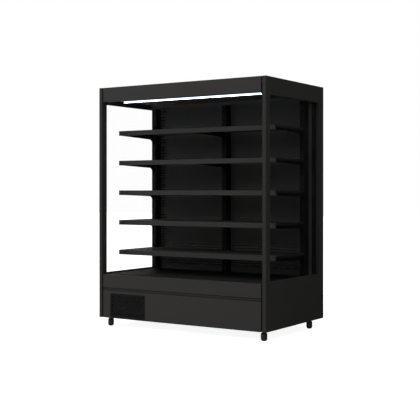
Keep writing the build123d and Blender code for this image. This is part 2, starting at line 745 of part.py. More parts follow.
# %% Fan plate, evaporator fans and their motors, all in the duct behind the lower shelf bay
plate_y0 = panel_y + sheet + clear
plate_y1 = wall_front - clear
with BuildPart() as fan_plate:
    with BuildSketch(level(plate_z - sheet)):
        area(-duct_half + 2 * sheet, duct_half - 2 * sheet, plate_y0, plate_y1)
        with Locations(*[(x, fan_y) for x in fan_centres]):
            Circle(fan_radius + fan_tip_gap, mode=Mode.SUBTRACT)
        with Locations((pipe_x, liquid_y), (pipe_x, suction_y)):
            Circle(pipe_radius + seat_gap, mode=Mode.SUBTRACT)
    extrude(amount=sheet)
    for y in (plate_y0, plate_y1 - sheet):
        with BuildSketch(level(plate_z - sheet)):
            area(-duct_half + 2 * sheet, duct_half - 2 * sheet, y, y + sheet)
        extrude(amount=-deck_fold)
save(fan_plate, "fan_plate")

motor_top = plate_z - sheet - 4 * clear
bearing = stud_radius / 2
with BuildPart() as fan_motors:
    for x in fan_centres:
        with BuildSketch(level(motor_top)):
            with Locations((x, fan_y)):
                Circle(motor_radius)
        extrude(amount=-motor_height)
        with BuildSketch(level(plate_z - sheet - clear)):
            with Locations((x, fan_y)):
                with PolarLocations(0, 3, start_angle=90):
                    with Locations(((fan_radius + fan_tip_gap) / 2 + 4, 0)):
                        Rectangle(fan_radius + fan_tip_gap + 8 - motor_radius / 2, 8)
                Circle(motor_radius)
        extrude(amount=-3)
        with Locations((x, fan_y, plate_z)):
            Cylinder(bearing + 0.05, 2 * fan_hub + 6, mode=Mode.SUBTRACT)
save(fan_motors, "evaporator_fan_motors")

wheel = impeller(fan_hub, fan_radius, fan_chord, fan_blades, fan_hub, bearing)
for number, x in enumerate(fan_centres, 1):
    with BuildPart() as evaporator_fan:
        add(wheel.moved(Location((x, fan_y, plate_z + seat_gap))))
    save(evaporator_fan, f"evaporator_fan_{number}")


def finned_block(length, deep, tall, fins):
    """A coil's fin pack, centred on X from y = 0: fins front and back of a solid web."""
    fin_pitch = length / fins
    groove_depth = (deep - coil_web) / 2
    with BuildPart() as block:
        with BuildSketch():
            area(-length / 2, length / 2, 0, deep)
            for y in (groove_depth / 2, deep - groove_depth / 2):
                with Locations((0, y)):
                    with GridLocations(fin_pitch, 1, fins - 1, 1):
                        Rectangle(fin_pitch * (1 - fin_share), groove_depth, mode=Mode.SUBTRACT)
        extrude(amount=tall)
    return block.part


def return_bends(x, y, low, tall, rows, radius, outward):
    """U-shaped tube ends in one column, standing out of a coil's end plate at x."""
    row_pitch = tall / (2 * rows)
    with BuildPart() as bends:
        for row in range(rows):
            z = low + row_pitch * (2 * row + 0.5)
            reach = x + outward * row_pitch
            with BuildLine() as centreline:
                FilletPolyline((x, y, z), (reach, y, z), (reach, y, z + row_pitch), (x, y, z + row_pitch),
                               radius=row_pitch * 0.49)
            with BuildSketch(Plane(origin=(x, y, z), z_dir=(outward, 0, 0))):
                Circle(radius)
            sweep(path=centreline.line)
    return bends.part


# %% Evaporator: fin pack, end plates that stand on the fan plate, and return bends
with BuildPart() as evaporator_coil:
    add(finned_block(coil_length, coil_depth, coil_height, coil_fins)
        .moved(Location((0, coil_y, coil_low))))
    for end in (-coil_length / 2 - sheet, coil_length / 2):
        with BuildSketch(across(end)):
            area(coil_y - 4, coil_y + coil_depth + 4, plate_z + clear, coil_low + coil_height + 4)
        extrude(amount=sheet)
    for y in (coil_y + coil_depth * 0.25, coil_y + coil_depth * 0.75):
        add(return_bends(coil_length / 2 + sheet, y, coil_low, coil_height, 4, pipe_radius, 1))
save(evaporator_coil, "evaporator_coil")

# %% Drain: a flanged spigot through the tub floor, and the pan that catches the water
with BuildPart() as drain_spigot:
    with BuildSketch(Plane(origin=(pan_x, pan_y, 0), x_dir=(1, 0, 0), z_dir=(0, -1, 0))):
        top, low = floor_z + clear + 2, pan_floor + pan_height * 0.7
        area(drain_radius - 2.5, drain_radius, low, top)
        area(drain_radius - 2.5, drain_radius * 1.7, floor_z + clear, top)
    revolve(axis=Axis((pan_x, pan_y, 0), (0, 0, 1)))
save(drain_spigot, "drain_spigot")

with BuildPart() as drip_pan:
    with BuildSketch(level(pan_floor + clear)):
        with Locations((pan_x, pan_y)):
            RectangleRounded(pan_width, pan_depth, 30)
    extrude(amount=pan_height, taper=-4)
    with BuildSketch(level(pan_floor + clear + 2)):
        with Locations((pan_x, pan_y)):
            RectangleRounded(pan_width - 4, pan_depth - 4, 28)
    extrude(amount=pan_height, taper=-4, mode=Mode.SUBTRACT)
save(drip_pan, "drip_pan")

# %% Condensing unit: condenser, shroud with its fan, motor and compressor
condenser_front = tray_front + tray_flange + seat_gap
condenser_back = condenser_front + condenser_depth
with BuildPart() as condenser_coil:
    add(finned_block(vent_width - 20, condenser_depth, condenser_height, condenser_fins)
        .moved(Location((vent_x, condenser_front, pan_floor + clear))))
    for end in (-1, 1):
        with BuildSketch(across(vent_x + end * (vent_width / 2 - 10) - sheet / 2)):
            area(condenser_front - 1, condenser_back, pan_floor + clear, pan_floor + condenser_height + 5)
        extrude(amount=sheet)
    add(return_bends(vent_x + vent_width / 2 - 10 + sheet / 2, condenser_front + condenser_depth * 0.72,
                     pan_floor + 10, condenser_height - 20, 4, pipe_radius, 1))
save(condenser_coil, "condenser_coil")

shroud_front = condenser_back + clear
shroud_back = shroud_front + shroud_depth
fan_z = pan_floor + condenser_height / 2
with BuildPart() as fan_shroud:
    with BuildSketch(facing(shroud_back)):
        area(vent_x - vent_width / 2 + 10, vent_x + vent_width / 2 - 10, pan_floor + clear,
             pan_floor + condenser_height)
    extrude(amount=shroud_depth)
    with BuildSketch(facing(shroud_back - sheet)):
        area(vent_x - vent_width / 2 + 10 + sheet, vent_x + vent_width / 2 - 10 - sheet,
             pan_floor + clear + sheet, pan_floor + condenser_height - sheet)
    extrude(amount=shroud_depth, mode=Mode.SUBTRACT)
    with BuildSketch(facing(shroud_back + 18)):
        with Locations((vent_x, fan_z)):
            Circle(cooling_fan_radius + 7)
    extrude(amount=19)
    with BuildSketch(facing(shroud_back + 19)):
        with Locations((vent_x, fan_z)):
            Circle(cooling_fan_radius + 4)
    extrude(amount=30, mode=Mode.SUBTRACT)
save(fan_shroud, "fan_shroud")

cooling_y = shroud_back + 12                       # back of the fan's hub
with BuildPart() as condenser_fan:
    add(impeller(cooling_fan_hub, cooling_fan_radius, cooling_fan_chord, fan_blades, cooling_fan_hub, bearing)
        .moved(Location((vent_x, cooling_y, fan_z), (90, 0, 0))))
save(condenser_fan, "condenser_fan")

with BuildPart() as condenser_fan_motor:
    with BuildSketch(facing(cooling_y + 4 + cooling_motor_length)):
        with Locations((vent_x, fan_z)):
            Circle(cooling_motor_radius)
    extrude(amount=cooling_motor_length)
    fillet(condenser_fan_motor.edges().filter_by(GeomType.CIRCLE), 5)
    ring_y = shroud_back + 18 + clear
    with BuildSketch(facing(ring_y + 4)):
        with Locations((vent_x, fan_z)):
            with PolarLocations(0, 4, start_angle=45):
                with Locations(((cooling_fan_radius + 7) / 2 + 8, 0)):
                    Rectangle(cooling_fan_radius + 7 - 16, 10)
            Circle(cooling_motor_radius)
    extrude(amount=4)
    with Locations(Location((vent_x, cooling_y, fan_z), (90, 0, 0))):
        Cylinder(bearing + 0.05, 2 * cooling_fan_hub + 8, mode=Mode.SUBTRACT)
save(condenser_fan_motor, "condenser_fan_motor")

compressor_z = pan_floor + rubber_height
discharge_z = compressor_z + compressor_height * 0.72
suction_z = compressor_z + compressor_height * 0.36
port_reach = 14.0                                  # ports stand out of the shell
port_radius = pipe_radius + 2.5
with BuildPart() as compressor:
    with BuildSketch(Plane(origin=(vent_x, compressor_y, compressor_z), x_dir=(1, 0, 0), z_dir=(0, -1, 0))):
        with BuildLine():
            seam = compressor_height * 0.46
            Polyline((0, 6), (compressor_radius * 0.6, 6))
            bowl = TangentArc((compressor_radius * 0.6, 6), (compressor_radius - 4, seam - 30), tangent=(1, 0.2))
            Polyline(bowl @ 1, (compressor_radius - 4, seam - 4),
                     (compressor_radius, seam - 4), (compressor_radius, seam + 4),
                     (compressor_radius - 6, seam + 4), (compressor_radius - 6, seam + 34))
            TangentArc((0, compressor_height), (compressor_radius - 6, seam + 34), tangent=(1, 0))
            Line((0, compressor_height), (0, 6))
        make_face()
    revolve(axis=Axis((vent_x, compressor_y, 0), (0, 0, 1)))
    with BuildSketch(level(compressor_z)):
        with Locations((vent_x, compressor_y)):
            RectangleRounded(2 * compressor_radius + 30, compressor_radius * 1.3, 12)
            with GridLocations(2 * compressor_radius, compressor_radius, 2, 2):
                Circle(5, mode=Mode.SUBTRACT)
    extrude(amount=6.5)
    with BuildSketch(facing(compressor_y - compressor_radius * 0.6)):
        with Locations((vent_x, compressor_z + compressor_height * 0.42)):
            RectangleRounded(62, 58, 8)
    extrude(amount=compressor_radius * 0.55)
    with Locations(Location((vent_x, compressor_y, discharge_z), (0, 90, 0))):
        Cylinder(port_radius, compressor_radius + port_reach, align=(Align.CENTER, Align.CENTER, Align.MIN))
    with Locations(Location((vent_x, compressor_y, suction_z), (0, -90, 0))):
        Cylinder(port_radius, compressor_radius + port_reach, align=(Align.CENTER, Align.CENTER, Align.MIN))
save(compressor, "compressor")

with BuildPart() as compressor_mounts:
    with BuildSketch(level(pan_floor + clear)):
        with Locations((vent_x, compressor_y)):
            with GridLocations(2 * compressor_radius, compressor_radius, 2, 2):
                Circle(13)
    extrude(amount=rubber_height - 2 * clear)
    fillet(compressor_mounts.edges().filter_by(GeomType.CIRCLE), 3)
save(compressor_mounts, "compressor_mounts")


def pipe(points):
    """A copper tube along straight runs joined by tangent bends."""
    with BuildPart() as tube:
        with BuildLine() as route:
            FilletPolyline(*points, radius=pipe_bend)
        with BuildSketch(Plane(origin=points[0], z_dir=route.line % 0)):
            Circle(pipe_radius)
        sweep(path=route.line)
    return tube.part


# %% Pipework: discharge, liquid and suction lines
coil_end = vent_x + vent_width / 2 - 10 + sheet / 2
header_x = coil_end + 60
header_y = condenser_front + condenser_depth * 0.28
liquid_z = pan_floor + 45
evaporator_end = -coil_length / 2 - sheet
with BuildPart() as pipework:
    add(pipe([(vent_x + compressor_radius + port_reach, compressor_y, discharge_z),
              (header_x, compressor_y, discharge_z), (header_x, header_y, discharge_z),
              (coil_end, header_y, discharge_z)]))
    add(pipe([(coil_end, header_y, liquid_z), (header_x + 30, header_y, liquid_z),
              (header_x + 30, liquid_y, liquid_z), (pipe_x, liquid_y, liquid_z),
              (pipe_x, liquid_y, coil_low + 60), (evaporator_end, liquid_y, coil_low + 60)]))
    add(pipe([(evaporator_end, suction_y, coil_low + coil_height - 40),
              (pipe_x, suction_y, coil_low + coil_height - 40), (pipe_x, suction_y, suction_z),
              (pipe_x, compressor_y, suction_z), (vent_x - compressor_radius - port_reach, compressor_y, suction_z)]))
save(pipework, "pipework")

# %% Electrical box with its lid, the cable inlet, the rear grille and the screws
with BuildPart() as electrical_box:
    box_y = tray_front + tray_flange + seat_gap
    with BuildSketch(facing(box_y + box_depth)):
        with Locations((box_x, pan_floor + clear + box_height / 2)):
            Rectangle(box_width, box_height)
    extrude(amount=box_depth - 20)
    fillet(electrical_box.edges().filter_by(Axis.Y), 6)
    with BuildSketch(facing(box_y + 20 - clear)):
        with Locations((box_x, pan_floor + clear + box_height / 2)):
            RectangleRounded(box_width, box_height, 6)
    extrude(amount=20 - clear)
    fillet(electrical_box.edges().group_by(Axis.Y)[0], 4)
save(electrical_box, "electrical_box")

gland_x = face_half - 90
gland_z = base_z + 70
rear_slot_columns = int((2 * face_half - rear_slot_length) // (rear_slot_length * 1.25))
with BuildPart() as rear_grille:
    with BuildSketch(facing(skin_y)):
        area(-face_half, face_half, base_z + tray_wall, tub_low - clear)
        with Locations((gland_x, gland_z)):
            Circle(9 + clear, mode=Mode.SUBTRACT)
    extrude(amount=sheet)
    with BuildSketch(facing(skin_y + sheet)):
        with Locations((0, (tray_top + tub_low) / 2)):
            with GridLocations(rear_slot_length * 1.25, 26, rear_slot_columns, 5):
                SlotOverall(rear_slot_length, rear_slot_height)
        area(gland_x - rear_slot_length, gland_x + rear_slot_length, base_z, tub_low, Mode.SUBTRACT)
    extrude(amount=3 * sheet, mode=Mode.SUBTRACT)
save(rear_grille, "rear_grille")

with BuildPart() as cable_gland:
    with BuildSketch(Plane(origin=(gland_x, 0, gland_z), x_dir=(1, 0, 0), z_dir=(0, 0, 1))):
        area(5, 13, skin_y + clear, rear - clear)
        area(5, 9, skin_y - sheet - 10, rear - clear)
        area(5, 13, skin_y - sheet - clear - 8, skin_y - sheet - clear)
    revolve(axis=Axis((gland_x, 0, gland_z), (0, 1, 0)))
save(cable_gland, "cable_gland")

screw_places = [(x, base_z + 16) for x in (-face_half + 14, -250, 250, face_half - 14)]
screw_places += [(x, tub_low - 12) for x in (-face_half + 14, -250, 250, face_half - 14)]
screw_places += [(x, z) for x in (-face_half + 10, face_half - 10) for z in (tub_low + 60, height / 2, height - 70)]
with BuildPart() as screws:
    with BuildSketch(facing(rear - clear)):
        with Locations(*screw_places):
            Circle(4.2)
    extrude(amount=rear_recess - 2 * clear)
    fillet(screws.edges().filter_by(GeomType.CIRCLE).group_by(Axis.Y)[-1], 1.4)
save(screws, "screws")
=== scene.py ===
# %% [markdown]
# # Dressing an open multideck display fridge
# The cabinet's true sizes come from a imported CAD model, which is loaded first and never moved.

# %% Load the fixed frame
import bpy
import bmesh
import json
import math
from mathutils import Matrix, Vector


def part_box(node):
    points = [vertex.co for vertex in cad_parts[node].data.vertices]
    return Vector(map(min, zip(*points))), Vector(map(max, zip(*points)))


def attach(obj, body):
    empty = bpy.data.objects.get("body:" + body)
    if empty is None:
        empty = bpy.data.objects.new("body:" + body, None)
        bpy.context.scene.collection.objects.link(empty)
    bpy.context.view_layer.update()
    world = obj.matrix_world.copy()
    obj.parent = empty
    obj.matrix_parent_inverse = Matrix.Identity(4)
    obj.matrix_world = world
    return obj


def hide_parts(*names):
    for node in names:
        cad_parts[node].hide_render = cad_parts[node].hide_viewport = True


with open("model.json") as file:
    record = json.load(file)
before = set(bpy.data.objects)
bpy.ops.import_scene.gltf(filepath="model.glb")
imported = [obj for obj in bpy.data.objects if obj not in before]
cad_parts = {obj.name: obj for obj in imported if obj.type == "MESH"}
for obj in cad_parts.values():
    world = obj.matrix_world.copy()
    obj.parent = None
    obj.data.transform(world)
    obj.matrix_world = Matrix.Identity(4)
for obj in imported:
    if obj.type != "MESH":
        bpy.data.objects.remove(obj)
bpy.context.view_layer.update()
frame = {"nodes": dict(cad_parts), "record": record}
MM = 0.001

# %% [markdown]
# ## The camera
# The photograph has upright verticals, so the camera is level and looks from the right of the
# front. The sideways turn and the distance follow from how fast the shelf edges shrink, and the
# small vertical shift puts the horizon above the middle of the frame.

# %% Place the camera
LENS_LENGTH_MM = 79.33
SENSOR_WIDTH_MM = 36.0
HORIZON_SHIFT = -0.047
CAMERA_PLACE = (4.186, -6.485, 1.136)
CAMERA_TURN = math.radians(32.9)
LEVEL = math.radians(90)
camera_data = bpy.data.cameras.new("view_camera")
camera_data.lens = LENS_LENGTH_MM
camera_data.sensor_width = SENSOR_WIDTH_MM
camera_data.shift_y = HORIZON_SHIFT
camera = bpy.data.objects.new("view_camera", camera_data)
camera.location = CAMERA_PLACE
camera.rotation_euler = (LEVEL, 0, CAMERA_TURN)
bpy.context.scene.collection.objects.link(camera)
bpy.context.scene.camera = camera
print("camera", round(math.hypot(*CAMERA_PLACE[:2]), 2), "m from the cabinet's middle")

# %% [markdown]
# ## Studio
# A black cabinet on white is lit like a black car: a wide soft lamp in front at the left puts a
# sheen on the front faces, and the far side is kept dark with a black card. The card and the
# lamps are stage equipment and aren't part of the cabinet. A second black card lies on the floor,
# because the right pane would otherwise mirror the white floor. Both cards show only to rays that
# bounced off something; straight through glass they're clear. Camera, mirror and glass rays see
# plain white round the object, while the light that falls on it is dimmer.


# %% Rays that see white
def math_node(tree, operation, first, second):
    """A Math node on two sockets or numbers; its result."""
    node = tree.nodes.new("ShaderNodeMath")
    node.operation = operation
    for socket, value in zip(node.inputs, (first, second)):
        if isinstance(value, bpy.types.NodeSocket):
            tree.links.new(value, socket)
        else:
            socket.default_value = value
    return node.outputs[0]


def white_rays(tree, mirror_share=1.0):
    """1 for camera and glass rays, `mirror_share` for mirror rays, 0 after a dull surface."""
    path = tree.nodes.new("ShaderNodeLightPath")
    direct = math_node(tree, "LESS_THAN", path.outputs["Diffuse Depth"], 0.5)
    mirror = math_node(tree, "MULTIPLY", path.outputs["Is Glossy Ray"], mirror_share)
    seen = math_node(tree, "MAXIMUM", path.outputs["Is Camera Ray"], mirror)
    seen = math_node(tree, "MAXIMUM", seen, path.outputs["Is Transmission Ray"])
    return math_node(tree, "MULTIPLY", seen, direct)


# %% World and view
WHITE = (1, 1, 1, 1)
DIM_LIGHT = 0.5
scene = bpy.context.scene
scene.view_settings.view_transform = "Standard"
world = bpy.data.worlds.new("studio")
scene.world = world
world.use_nodes = True
tree = world.node_tree
tree.nodes.clear()
blend = tree.nodes.new("ShaderNodeMixShader")
tree.links.new(white_rays(tree), blend.inputs[0])
for socket, strength in ((blend.inputs[1], DIM_LIGHT), (blend.inputs[2], 1.0)):
    background = tree.nodes.new("ShaderNodeBackground")
    background.inputs["Color"].default_value = WHITE
    background.inputs["Strength"].default_value = strength
    tree.links.new(background.outputs[0], socket)
surface = tree.nodes.new("ShaderNodeOutputWorld")
tree.links.new(blend.outputs[0], surface.inputs["Surface"])
print("world lights the cabinet at", DIM_LIGHT, "and shows as white")


# %% Lamps
def soft_lamp(name, place, aim, width, height, watts):
    """A rectangular lamp at `place`, turned to face `aim`."""
    data = bpy.data.lights.new(name, "AREA")
    data.shape = "RECTANGLE"
    data.size = width
    data.size_y = height
    data.energy = watts
    lamp = bpy.data.objects.new(name, data)
    lamp.location = place
    lamp.rotation_euler = (Vector(aim) - Vector(place)).to_track_quat("-Z", "Y").to_euler()
    scene.collection.objects.link(lamp)
    print(name, watts, "W")


soft_lamp("front_left_lamp", place=(-3.6, -5.4, 3.6), aim=(0, 0, 1.3), width=3.5, height=3.0, watts=150)
soft_lamp("overhead_lamp", place=(0.0, -1.5, 5.0), aim=(0, 0, 1.0), width=4.0, height=3.0, watts=90)


# %% Stage surfaces
def plain_surface(name, colour, roughness):
    """A one-colour finish; every number sits on the shader's own socket."""
    material = bpy.data.materials.new(name)
    material.use_nodes = True
    shader = material.node_tree.nodes["Principled BSDF"]
    shader.inputs["Base Color"].default_value = (*colour, 1)
    shader.inputs["Roughness"].default_value = roughness
    return material, shader


def stage_plane(name, material, size_x, size_y, turn):
    """A flat stage surface; `turn` places it."""
    bm = bmesh.new()
    bmesh.ops.create_grid(bm, x_segments=1, y_segments=1, size=0.5,
                          matrix=turn @ Matrix.Diagonal((size_x, size_y, 1, 1)))
    mesh = bpy.data.meshes.new(name)
    bm.to_mesh(mesh)
    bm.free()
    mesh.materials.append(material)
    plane = bpy.data.objects.new(name, mesh)
    scene.collection.objects.link(plane)
    print(name, size_x, "x", size_y, "m")
    return plane


# %% White floor
FLOOR_SIZE = 60
FLOOR_GLOW = 0.9
FLOOR_MIRROR_SHARE = 0.15
floor_finish, shader = plain_surface("white_floor", (0.85, 0.85, 0.85), 0.9)
shader.inputs["Specular IOR Level"].default_value = 0.1
tree = floor_finish.node_tree
glow = math_node(tree, "MULTIPLY", white_rays(tree, FLOOR_MIRROR_SHARE), FLOOR_GLOW)
shader.inputs["Emission Color"].default_value = WHITE
tree.links.new(glow, shader.inputs["Emission Strength"])
stage_plane("floor", floor_finish, FLOOR_SIZE, FLOOR_SIZE, Matrix.Identity(4))

# %% Black card finish
card_finish, shader = plain_surface("black_card", (0.004, 0.004, 0.004), 1.0)
shader.inputs["Specular IOR Level"].default_value = 0.0
tree = card_finish.node_tree
path = tree.nodes.new("ShaderNodeLightPath")
bounces = math_node(tree, "SUBTRACT", path.outputs["Ray Depth"], path.outputs["Transmission Depth"])
bounced = math_node(tree, "GREATER_THAN", bounces, 0.5)
clear = tree.nodes.new("ShaderNodeBsdfTransparent")
blend = tree.nodes.new("ShaderNodeMixShader")
tree.links.new(bounced, blend.inputs[0])
tree.links.new(clear.outputs[0], blend.inputs[1])
tree.links.new(shader.outputs[0], blend.inputs[2])
tree.links.new(blend.outputs[0], tree.nodes["Material Output"].inputs["Surface"])
print("black card is clear to rays that haven't bounced")

# %% Side card and floor card
SIDE_CARD_SIZE = (8, 4.4)
SIDE_CARD_PLACE = (4.2, 3.6, 2.0)
FLOOR_CARD_SIZE = (7, 9)
FLOOR_CARD_PLACE = (4.35, 2.5, 1 * MM)
stand_up = Matrix.Rotation(math.radians(90), 4, "X")
turn_aside = Matrix.Rotation(math.radians(-50), 4, "Z")
side_card_turn = Matrix.Translation(SIDE_CARD_PLACE) @ turn_aside @ stand_up
side_card = stage_plane("side_card", card_finish, *SIDE_CARD_SIZE, side_card_turn)
side_card.visible_camera = False
floor_card = stage_plane("floor_card", card_finish, *FLOOR_CARD_SIZE, Matrix.Translation(FLOOR_CARD_PLACE))
for kind in ("camera", "diffuse", "shadow"):
    setattr(floor_card, f"visible_{kind}", False)

# %% [markdown]
# ## Textures that finishes share
# A flat colour never looks like a real surface, so each finish gets a fine texture. A shader node
# group holds each texture once, made from the object's own coordinates, and every finish sets its
# own grain and roughness on the group's inputs. One builder serves both coatings, because each is
# a fine height over the surface and a roughness that wanders in larger clouds.

# %% Empty group with named sockets
VALUE = "NodeSocketFloat"
COLOUR = "NodeSocketColor"


def new_group(name, inputs, outputs):
    """An empty node group with float or colour sockets, and its two end nodes."""
    group = bpy.data.node_groups.new(name, "ShaderNodeTree")
    for label, kind in inputs:
        group.interface.new_socket(label, in_out="INPUT", socket_type=kind)
    for label, kind in outputs:
        group.interface.new_socket(label, in_out="OUTPUT", socket_type=kind)
    return group, group.nodes.new("NodeGroupInput"), group.nodes.new("NodeGroupOutput")


# %% Coating texture
def build_coating_group(name, pattern, pattern_output, pattern_detail, cloud_scale, cloud_detail):
    """Fine peel or stipple as a height, with a roughness that wanders a little."""
    group, inside, outside = new_group(
        name, [("Grain", VALUE), ("Roughness Low", VALUE), ("Roughness High", VALUE)],
        [("Height", VALUE), ("Roughness", VALUE)])
    coords = group.nodes.new("ShaderNodeTexCoord")
    fine = group.nodes.new(pattern)
    fine.inputs["Detail"].default_value = pattern_detail
    cloud = group.nodes.new("ShaderNodeTexNoise")
    cloud.inputs["Scale"].default_value = cloud_scale
    cloud.inputs["Detail"].default_value = cloud_detail
    spread = group.nodes.new("ShaderNodeMapRange")
    group.links.new(coords.outputs["Object"], fine.inputs["Vector"])
    group.links.new(coords.outputs["Object"], cloud.inputs["Vector"])
    group.links.new(inside.outputs["Grain"], fine.inputs["Scale"])
    group.links.new(cloud.outputs["Fac"], spread.inputs["Value"])
    group.links.new(inside.outputs["Roughness Low"], spread.inputs["To Min"])
    group.links.new(inside.outputs["Roughness High"], spread.inputs["To Max"])
    group.links.new(fine.outputs[pattern_output], outside.inputs["Height"])
    group.links.new(spread.outputs["Result"], outside.inputs["Roughness"])
    print(name, "built from", pattern)
    return group


powder = build_coating_group("powder_texture", "ShaderNodeTexNoise", "Fac", pattern_detail=3.0,
                             cloud_scale=3.5, cloud_detail=2.0)
mould = build_coating_group("mould_texture", "ShaderNodeTexVoronoi", "Distance", pattern_detail=0.0,
                            cloud_scale=14.0, cloud_detail=4.0)


# %% Metal tone
def build_metal_group(name, pattern, pattern_output):
    """Two tones of bare metal and its roughness, mixed by a pattern."""
    group, inside, outside = new_group(
        name, [("Light Tone", COLOUR), ("Dark Tone", COLOUR), ("Scale", VALUE), ("Roughness Low", VALUE),
               ("Roughness High", VALUE)],
        [("Color", COLOUR), ("Roughness", VALUE)])
    coords = group.nodes.new("ShaderNodeTexCoord")
    grains = group.nodes.new(pattern)
    tone = group.nodes.new("ShaderNodeMapRange")
    tone.inputs["From Min"].default_value = 0.25
    tone.inputs["From Max"].default_value = 0.75
    spread = group.nodes.new("ShaderNodeMapRange")
    mix = group.nodes.new("ShaderNodeMix")
    mix.data_type = "RGBA"
    group.links.new(coords.outputs["Object"], grains.inputs["Vector"])
    group.links.new(inside.outputs["Scale"], grains.inputs["Scale"])
    group.links.new(grains.outputs[pattern_output], tone.inputs["Value"])
    group.links.new(tone.outputs["Result"], mix.inputs["Factor"])
    group.links.new(inside.outputs["Light Tone"], mix.inputs["A"])
    group.links.new(inside.outputs["Dark Tone"], mix.inputs["B"])
    group.links.new(tone.outputs["Result"], spread.inputs["Value"])
    group.links.new(inside.outputs["Roughness Low"], spread.inputs["To Min"])
    group.links.new(inside.outputs["Roughness High"], spread.inputs["To Max"])
    group.links.new(mix.outputs["Result"], outside.inputs["Color"])
    group.links.new(spread.outputs["Result"], outside.inputs["Roughness"])
    print(name, "built from", pattern)
    return group


crystal_metal = build_metal_group("crystal_metal", "ShaderNodeTexVoronoi", "Color")
cloudy_metal = build_metal_group("cloudy_metal", "ShaderNodeTexNoise", "Fac")

# %% [markdown]
# ## Paint
# Nearly every panel is powder-coated steel, whose fine orange peel breaks up highlights. The
# colours are all near black: the front and the shelves are a warm black, and the deck and
# brackets are darker. The vent is painted darker still: painted shade that stands in for the
# dark machine space behind its holes. The liner and the duct are painted lighter than their
# true black: painted light, because little light reaches them.


# %% Coated finish
finishes = {}


def coated(name, texture, colour, low, high, sheen, grain, depth, reach):
    """A coated surface in one colour: `depth` and `reach` set how strongly its texture shows."""
    material, shader = plain_surface(name, colour, (low + high) / 2)
    shader.inputs["Specular IOR Level"].default_value = sheen
    tree = material.node_tree
    coating = tree.nodes.new("ShaderNodeGroup")
    coating.node_tree = texture
    coating.inputs["Grain"].default_value = grain
    coating.inputs["Roughness Low"].default_value = low
    coating.inputs["Roughness High"].default_value = high
    bump = tree.nodes.new("ShaderNodeBump")
    bump.inputs["Strength"].default_value = depth
    bump.inputs["Distance"].default_value = reach
    tree.links.new(coating.outputs["Height"], bump.inputs["Height"])
    tree.links.new(bump.outputs["Normal"], shader.inputs["Normal"])
    tree.links.new(coating.outputs["Roughness"], shader.inputs["Roughness"])
    finishes[name] = material


# %% Paints
def powder_coat(name, colour, low=0.6, high=0.75, sheen=0.04, grain=700.0, depth=0.04):
    """Powder-coated steel."""
    coated(name, powder, colour, low, high, sheen, grain, depth, reach=0.4 * MM)


powder_coat("panel_paint", (0.0300, 0.0287, 0.0268), 0.55, 0.68, sheen=0.06)
powder_coat("end_panel_paint", (0.0260, 0.0254, 0.0242), 0.55, 0.68, sheen=0.06)
powder_coat("trim_paint", (0.0185, 0.0183, 0.0178), 0.45, 0.55, sheen=0.06)
powder_coat("shelf_paint", (0.0300, 0.0290, 0.0274), 0.55, 0.68, sheen=0.06)
# Painted light: the liner and the duct are lighter copies of the black paint, making up for the little light
# under the canopy and at the back.
powder_coat("liner_paint", (0.064, 0.065, 0.067))
powder_coat("duct_paint", (0.074, 0.074, 0.072))
# Painted shade: the uprights are darker than the panel paint, matching the shadowed end upright.
powder_coat("upright_paint", (0.012, 0.012, 0.012))
powder_coat("bracket_paint", (0.009, 0.009, 0.009))
powder_coat("deck_paint", (0.0100, 0.0100, 0.0096))
# Painted shade: the vent is darker than the panel paint, standing in for the shade behind its holes.
powder_coat("vent_paint", (0.008, 0.008, 0.008))
powder_coat("base_paint", (0.012, 0.012, 0.012), sheen=0.06)
powder_coat("compressor_paint", (0.008, 0.008, 0.008), 0.22, 0.32, sheen=0.5, grain=260.0, depth=0.1)
powder_coat("motor_paint", (0.030, 0.030, 0.032), 0.4, 0.5, sheen=0.5)
print(len(finishes), "paints")

# %% [markdown]
# ## Moulded plastic and bare metal
# Moulded plastic and rubber carry the fine stipple of their mould. Bare metal varies in tone:
# galvanised sheet in flat crystals, which a Voronoi texture gives, and zinc, aluminium or copper
# in soft clouds, which a noise gives.


# %% Plastics and rubber
def moulded(name, colour, low, high, sheen=0.3):
    """Plastic or rubber with its mould's stipple."""
    coated(name, mould, colour, low, high, sheen, grain=900.0, depth=0.08, reach=0.3 * MM)


moulded("black_rubber", (0.008, 0.008, 0.008), 0.75, 0.9, sheen=0.15)
moulded("black_nylon", (0.012, 0.012, 0.012), 0.45, 0.6)
moulded("foot_nylon", (0.006, 0.006, 0.006), 0.4, 0.55)
moulded("tub_plastic", (0.020, 0.020, 0.020), 0.55, 0.7, sheen=0.2)
moulded("honeycomb_plastic", (0.020, 0.020, 0.020), 0.45, 0.6)
moulded("machine_black", (0.010, 0.010, 0.010), 0.5, 0.65, sheen=0.2)
moulded("fan_blades", (0.016, 0.016, 0.016), 0.35, 0.5)
moulded("pan_plastic", (0.050, 0.050, 0.055), 0.45, 0.6)
print(len(finishes), "finishes with the plastics")


# %% Bare metals
def bare_metal(name, texture, light, dark, scale, low, high):
    """Unpainted metal between two tones."""
    material, shader = plain_surface(name, light, (low + high) / 2)
    shader.inputs["Metallic"].default_value = 1.0
    tree = material.node_tree
    tone = tree.nodes.new("ShaderNodeGroup")
    tone.node_tree = texture
    tone.inputs["Light Tone"].default_value = (*light, 1)
    tone.inputs["Dark Tone"].default_value = (*dark, 1)
    tone.inputs["Scale"].default_value = scale
    tone.inputs["Roughness Low"].default_value = low
    tone.inputs["Roughness High"].default_value = high
    tree.links.new(tone.outputs["Color"], shader.inputs["Base Color"])
    tree.links.new(tone.outputs["Roughness"], shader.inputs["Roughness"])
    finishes[name] = material


bare_metal("light_channel", cloudy_metal, (0.42, 0.43, 0.45), (0.36, 0.37, 0.39), 30.0, 0.4, 0.5)
bare_metal("galvanised_steel", crystal_metal, (0.58, 0.60, 0.62), (0.42, 0.44, 0.46), 70.0, 0.32, 0.5)
bare_metal("zinc_steel", cloudy_metal, (0.52, 0.52, 0.51), (0.40, 0.40, 0.39), 120.0, 0.3, 0.45)
